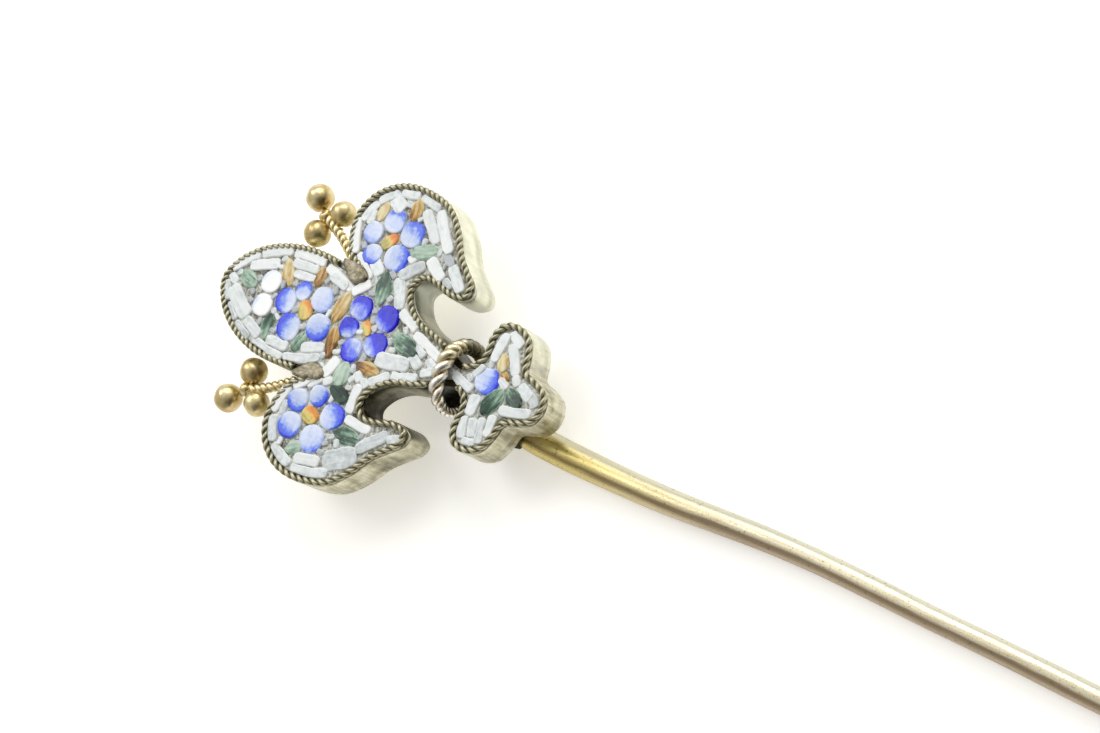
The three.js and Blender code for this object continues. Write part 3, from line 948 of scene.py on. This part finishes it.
# Each round petal: the side its colour deepens on, in degrees from +X, and how deep it is.
FLOWER_SHADES = {
    "tip": [(95, 1.0), (20, 0.85), (-110, 0.45), (-150, 0.8), (75, 1.05)],
    "right": [(150, 0.45), (0, 0.6), (-20, 0.78), (-80, 0.8), (160, 0.85)],
    "waist": [(-20, 0.85), (-30, 1.7), (40, 1.1), (150, 0.7), (-40, 1.5)],
    "left": [(170, 0.75), (-120, 0.85), (-60, 1.05), (-150, 0.5), (170, 0.85)],
}


def from_node(node, squareness, growth, swell=1.0, point=False):
    centre, long_half, short_half, angle = footprint(node)
    if math.cos(angle) < 0:
        angle += math.pi
    sizes = long_half * swell, short_half * swell
    return laid(centre, *sizes, angle, squareness, growth, point=point)


def rounded(node, slot, look, turn, depth, squareness=2.25, growth=0.06):
    tessera = from_node(node, squareness, growth)
    return node, slot, look, tessera, crescent(tessera, turn, depth)


def flowers():
    for flower, shades in FLOWER_SHADES.items():
        look = DEEP_BLUE if flower == "waist" else BLUE
        slot = "deep_blue_glass" if flower == "waist" else "blue_glass"
        for number, shade in enumerate(shades, 1):
            yield rounded(f"{flower}_flower_petal_{number}", slot, look, *shade)
        yield rounded(f"{flower}_flower_heart", "orange_glass", ORANGE, -30, 0.7, 2.6, 0.1)
    yield rounded("foot_petal", "blue_glass", BLUE, -100, 0.9)
    yield rounded("white_disc_1", "white_glass", PEARL, 60, 0.6)
    yield rounded("white_disc_2", "white_glass", PEARL, 90, 0.6)


# Each leaf's shade at its two ends, the end nearer +X first.
LEAF_TONES = {
    "tip_leaf_1": (0.5, 0.45), "tip_leaf_2": (0.9, 0.3), "tip_leaf_3": (0.4, 0.8),
    "right_leaf": (0.35, 0.45), "waist_leaf_1": (0.95, 0.4), "waist_leaf_2": (0.4, 0.9),
    "waist_leaf_3": (0.15, 0.3), "waist_leaf_4": (0.95, 1.0), "left_leaf_1": (0.6, 0.75),
    "left_leaf_2": (0.35, 0.4), "foot_leaf_1": (0.4, 0.95), "foot_leaf_2": (0.7, 0.95),
}


def leaves():
    for node, tones in LEAF_TONES.items():
        leaf = from_node(node, squareness=2, growth=0.13, swell=1.05, point=True)
        yield node, "green_glass", GREEN, leaf, faded(*tones, leaf.long_half)


# White bars, by the part of the lily they fill: start, end, width, bow and shade (0 white, 1 grey).
WHITE_BARS = {
    "tip": [
        (0.5, 13.25, 1.6, 12.1, 0.45, 0.1, 0.4), (1.72, 11.95, 2.33, 10.4, 0.42, 0.06, 0.35),
        (2.38, 10.2, 2.42, 8.35, 0.5, 0.05, 0.2), (2.3, 8.05, 1.72, 6.32, 0.38, 0, 0.1),
        (1.0, 12.3, 1.55, 10.85, 0.45, 0, 0.35), (1.9, 10.0, 2.0, 8.55, 0.42, 0, 0.4),
        (1.42, 9.7, 1.56, 8.5, 0.32, 0, 0.45), (2.0, 7.6, 1.72, 6.6, 0.36, 0, 0.5),
        (0.25, 13.2, -0.05, 12.75, 0.36, 0, 0.5), (-0.15, 13.3, -0.95, 12.75, 0.3, -0.05, 0.7),
        (-0.3, 12.75, -1.35, 11.35, 0.72, -0.08, 0.45), (-1.1, 12.6, -1.75, 11.85, 0.28, -0.03, 0.8),
        (-1.85, 11.75, -2.28, 10.75, 0.32, -0.03, 0.75), (-1.5, 11.25, -2.0, 10.15, 0.42, 0, 0.6),
        (-2.27, 10.4, -2.52, 8.45, 0.36, -0.04, 0.6), (-2.43, 8.3, -1.8, 6.4, 0.38, -0.08, 0.6),
        (-2.0, 9.6, -1.95, 8.4, 0.42, 0, 0.55), (-1.68, 7.5, -1.32, 6.4, 0.4, 0, 0.5),
    ],
    "right": [
        (3.42, 7.0, 5.0, 7.62, 0.38, 0.08, 0.15), (5.0, 7.38, 6.0, 7.0, 0.36, 0.05, 0.5),
        (6.1, 6.93, 6.78, 6.1, 0.38, 0.05, 0.45), (6.85, 5.95, 7.0, 4.95, 0.36, 0.03, 0.5),
        (7.0, 4.8, 6.78, 3.65, 0.36, 0.03, 0.55), (6.68, 3.5, 5.0, 2.12, 0.42, -0.05, 0.4),
        (5.62, 7.05, 4.95, 6.95, 0.3, 0, 0.55), (6.5, 6.2, 6.1, 5.55, 0.62, 0, 0.45),
        (6.45, 4.2, 5.2, 3.1, 0.42, 0, 0.45), (4.0, 4.0, 4.4, 3.65, 0.3, 0, 0.4),
        (3.15, 4.1, 4.05, 3.15, 0.46, 0, 0.75), (4.38, 2.92, 3.72, 1.92, 0.46, 0, 0.2),
        (4.85, 2.2, 4.45, 1.7, 0.3, 0, 0.95), (4.45, 1.68, 3.55, 0.7, 0.42, 0, 0.5),
        (3.75, 1.76, 3.52, 1.26, 0.32, 0, 0.8), (3.4, 6.8, 2.55, 5.62, 0.34, 0, 0.15),
        (3.4, 5.85, 2.9, 5.2, 0.5, 0, 0.4), (1.62, 6.2, 2.32, 5.48, 0.4, 0, 0.1),
        (3.05, 4.1, 1.75, 3.4, 0.46, 0.04, 0.6),
    ],
    "waist": [
        (1.62, 3.2, 1.15, 2.05, 0.42, 0.04, 0.3), (0.93, 1.97, 0.3, 0.25, 0.38, 0.03, 0.1),
        (-0.77, 3.35, -0.54, 1.66, 0.66, 0, 0.55), (0.05, 1.85, -0.38, 1.05, 0.4, 0, 0.65),
        (0.5, 1.55, 0.2, 1.05, 0.3, 0, 0.7), (-1.98, 3.25, -1.3, 2.35, 0.38, -0.03, 0.5),
        (-1.22, 2.2, -0.88, 0.95, 0.38, -0.05, 0.55), (-0.62, 0.8, -0.34, 0.21, 0.3, 0, 0.6),
        (-1.5, 5.38, -2.5, 5.72, 0.48, 0, 0.2), (-2.2, 3.62, -3.55, 3.56, 0.42, -0.05, 0.4),
        (0.1, 0.75, -0.25, 0.25, 0.34, 0, 0.6), (-1.75, 4.05, -2.05, 3.7, 0.34, 0, 0.5),
        (-1.95, 3.58, -2.2, 3.25, 0.34, 0, 0.5),
    ],
    "left": [
        (-2.43, 6.0, -3.52, 7.02, 0.42, 0, 0.15), (-3.62, 7.3, -4.93, 7.55, 0.42, -0.03, 0.15),
        (-4.27, 7.02, -4.9, 7.05, 0.2, 0, 0.7), (-5.15, 7.35, -6.2, 6.85, 0.38, -0.06, 0.6),
        (-6.35, 6.72, -6.9, 5.45, 0.4, -0.06, 0.65), (-6.98, 5.2, -6.55, 3.3, 0.38, -0.08, 0.55),
        (-6.53, 5.25, -6.25, 3.95, 0.46, 0, 0.35), (-6.15, 3.7, -5.25, 2.22, 0.92, 0, 0.75),
        (-3.85, 3.5, -3.98, 2.1, 0.36, -0.03, 0.2), (-4.98, 2.37, -3.84, 1.09, 0.48, 0, 0.75),
        (-4.0, 0.95, -3.75, 0.35, 0.34, 0, 0.7), (-3.19, 6.3, -2.62, 5.75, 0.28, 0, 0.3),
        (-2.75, 5.55, -2.5, 5.2, 0.32, 0, 0.35),
    ],
    "foot": [
        (-0.05, -0.8, -0.42, -2.0, 0.38, 0, 0.55), (0.24, -1.84, 0.82, -2.13, 0.24, 0, 0.6),
        (1.2, -2.52, 2.55, -2.6, 0.38, 0.04, 0.4), (2.68, -2.76, 2.28, -3.48, 0.4, 0.04, 0.4),
        (2.17, -3.1, 1.0, -3.8, 0.4, 0, 0.35), (0.9, -3.85, 0.6, -4.15, 0.3, 0, 0.5),
        (0.55, -3.2, 0.3, -3.65, 0.28, 0, 0.5), (0.62, -4.3, 0.25, -5.0, 0.46, 0, 0.6),
        (0.02, -5.4, 0.4, -5.02, 0.34, 0, 0.65), (-0.72, -3.85, -0.38, -5.3, 0.36, -0.03, 0.5),
        (-0.56, -2.38, -1.45, -2.4, 0.48, 0, 0.45), (-1.6, -2.28, -2.5, -2.55, 0.38, -0.05, 0.5),
        (-1.55, -2.78, -2.35, -2.98, 0.42, 0, 0.55), (-1.4, -3.2, -2.45, -3.4, 0.34, 0, 0.6),
        (-1.1, -3.65, -2.05, -3.72, 0.36, 0, 0.4), (-2.62, -2.7, -2.52, -3.3, 0.26, 0, 0.6),
    ],
}

# Amber and tan slivers: start, end, width, and the shade at each end.
AMBER_BARS = [
    (1.9, 10.4, 0.8, 9.75, 0.46, 0.15, 0.45), (2.18, 8.22, 1.32, 8.3, 0.42, 0.55, 0.8),
    (1.55, 6.35, 0.05, 6.5, 0.46, 0.2, 0.6), (-0.2, 6.18, -1.6, 5.98, 0.46, 0.4, 1.0),
    (6.2, 6.5, 5.3, 6.52, 0.36, 0.3, 0.15), (6.9, 4.85, 5.85, 4.75, 0.42, 0.2, 0.75),
    (-1.4, 4.3, -1.35, 2.98, 0.4, 0.95, 0.35), (1.65, -2.85, 0.95, -3.1, 0.36, 0.25, 0.15),
    (0.8, -3.15, 0.55, -3.45, 0.3, 0.5, 0.6),
]


def between(x0, y0, x1, y1, width, squareness, growth, bow=0.0, point=False):
    """A tessera that reaches from one point to another."""
    start, end = np.array((x0, y0)), np.array((x1, y1))
    reach = end - start
    angle = math.atan2(reach[1], reach[0])
    sizes = np.linalg.norm(reach) / 2, width / 2
    return laid((start + end) / 2, *sizes, angle, squareness, growth, bow, point)


def within(points, loop):
    """Whether each point lies inside a closed loop, by how often a line to its right crosses it."""
    x, y = points[:, :1], points[:, 1:]
    x0, y0 = loop.T
    x1, y1 = np.roll(loop, -1, axis=0).T
    spans = (y0 > y) != (y1 > y)
    meets = x0 + (y - y0) * (x1 - x0) / np.where(y1 == y0, 1e-9, y1 - y0)
    return (spans & (meets > x)).sum(axis=1) % 2 == 1


def crumbs():
    """Small chips pressed into whatever open grout the larger tesserae leave."""
    across = np.arange(-7.2, 7.3, 0.15)
    along = np.arange(-5.7, 13.5, 0.15)
    spots = np.array([(x, y) for x in across for y in along])
    spots += [[chance.uniform(-0.07, 0.07), chance.uniform(-0.07, 0.07)] for _ in spots]
    spots = spots[within(spots, inset(OUTLINE, ROPE_INSET + ROPE_RADIUS + 0.15, closed=True))]
    for tessera in TESSERAE:
        spots = spots[~within(spots, tessera.outline)]
        away = np.linalg.norm(spots[:, None] - tessera.outline[None], axis=2).min(axis=1)
        spots = spots[away > CRUMB_ROOM]
    chips = []
    while len(spots):
        spot = spots[chance.randrange(len(spots))]
        spots = spots[np.linalg.norm(spots - spot, axis=1) > 2.2 * CRUMB_ROOM]
        sizes = chance.uniform(0.13, 0.19), chance.uniform(0.08, 0.12)
        chip = Tessera(spot, *sizes, chance.uniform(0, math.pi), squareness=6, growth=0.04)
        chips.append((chip, flat_shade(chance.uniform(0.4, 1.3))))
    TESSERAE.extend(chip for chip, _ in chips)
    return chips


def mosaic():
    """Lays out every tessera, lets them settle against each other, then builds the pieces."""
    single = list(flowers()) + list(leaves())
    groups = []
    for region, bars in WHITE_BARS.items():
        entries = []
        for *reach, bow, shade in bars:
            entries.append((between(*reach, squareness=6, growth=0.07, bow=bow), flat_shade(shade)))
        groups.append((f"{region}_white_bars", "white_glass", WHITE, entries))
    slivers = []
    for *reach, width, first, second in AMBER_BARS:
        sliver = between(*reach, width * 1.1, squareness=3, growth=0.12, point=True)
        slivers.append((sliver, faded(second, first, sliver.long_half)))
    groups.append(("amber_slivers", "orange_glass", AMBER, slivers))
    groups.append(("white_crumbs", "white_glass", WHITE, crumbs()))
    settle(resample(inset(OUTLINE, ROPE_INSET + ROPE_RADIUS * 0.85, closed=True), 0.06))
    for node, slot, look, tessera, shading in single:
        glass("fine_" + node, slot, look, [(tessera, shading)], node)
    for name, slot, look, entries in groups:
        glass(name, slot, look, entries)


# ---- floor, light and camera ----
DARK_CORNER = (-0.45, -0.85, 0.35)
ROOM_LIGHT = 0.7
FLOOR_GLOW = 0.42
LIGHT_DISTANCE = 0.4


def studio():
    bpy.ops.mesh.primitive_grid_add(x_subdivisions=2, y_subdivisions=2, size=2.0)
    floor = bpy.context.object
    floor.name = "floor"
    paper = Look("white paper", Roughness=0.9)
    paper.colour(paper.mix(paper.noise(paper.millimetres(), 0.05), rgb(248, 247, 245), rgb(244, 243, 240)))
    paper.shader.inputs["Emission Color"].default_value = rgb(255, 254, 250)
    paper.shader.inputs["Emission Strength"].default_value = FLOOR_GLOW
    floor.data.materials.append(paper.material)
    white_room()
    target = NECK + Vector((0, 3, 2)) * MM
    soft_light("key", target, (0.25, 0.8, 1.0), 0.22, 0.4)
    soft_light("side", target, (1.0, 0.1, 0.75), 0.3, 0.55)


def white_room():
    """A bright, even world with one dark corner, low towards the tail of the pin."""
    world = bpy.data.worlds.new("soft white room")
    bpy.context.scene.world = world
    world.use_nodes = True
    nodes, links = world.node_tree.nodes, world.node_tree.links
    towards = nodes.new("ShaderNodeTexCoord")
    facing = nodes.new("ShaderNodeVectorMath")
    facing.operation = "DOT_PRODUCT"
    facing.inputs[1].default_value = Vector(DARK_CORNER).normalized()
    links.new(towards.outputs["Generated"], facing.inputs[0])
    shade = nodes.new("ShaderNodeValToRGB")
    bright, dark = shade.color_ramp.elements
    bright.position, bright.color = 0.35, rgb(255, 254, 250)
    dark.position, dark.color = 0.85, rgb(96, 90, 78)
    links.new(facing.outputs["Value"], shade.inputs["Fac"])
    background = nodes["Background"]
    links.new(shade.outputs["Color"], background.inputs["Color"])
    background.inputs["Strength"].default_value = ROOM_LIGHT


def soft_light(name, target, way, size, power):
    light = bpy.data.lights.new(name, "AREA")
    light.shape = "DISK"
    light.size = size
    light.energy = power
    lamp = placed(name, light)
    direction = Vector(way).normalized()
    lamp.location = target + direction * LIGHT_DISTANCE
    lamp.rotation_euler = direction.to_track_quat("Z", "Y").to_euler()


def camera():
    """Looks down at the head from a hand's breadth, turned so that the petal points left."""
    aim = NECK + Vector((1.93, -5.27, 2.03)) * MM
    distance = 97.4 * MM
    heading, elevation, roll = (math.radians(a) for a in (6.5, 59.3, 60.1))
    flat = math.cos(elevation)
    ahead = Vector((math.sin(heading) * flat, math.cos(heading) * flat, -math.sin(elevation)))
    level_up = (Vector((0, 0, 1)) + ahead * math.sin(elevation)).normalized()
    level_right = ahead.cross(level_up)
    up = level_up * math.cos(roll) + level_right * math.sin(roll)
    data = bpy.data.cameras.new("camera")
    data.sensor_width = 36
    data.lens = 72
    data.clip_start = 0.001
    obj = placed("camera", data)
    right = ahead.cross(up)
    turn = Matrix((right, up, -ahead)).transposed().to_4x4()
    obj.matrix_world = Matrix.Translation(aim - ahead * distance) @ turn
    bpy.context.scene.camera = obj


camera()
studio()
bpy.context.scene.view_settings.view_transform = "Standard"
case_wall()
back_plate()
cement_bed()
ropes()
neck_ring()
stamens()
notch_solder()
stem()
solder_saddle()
mosaic()
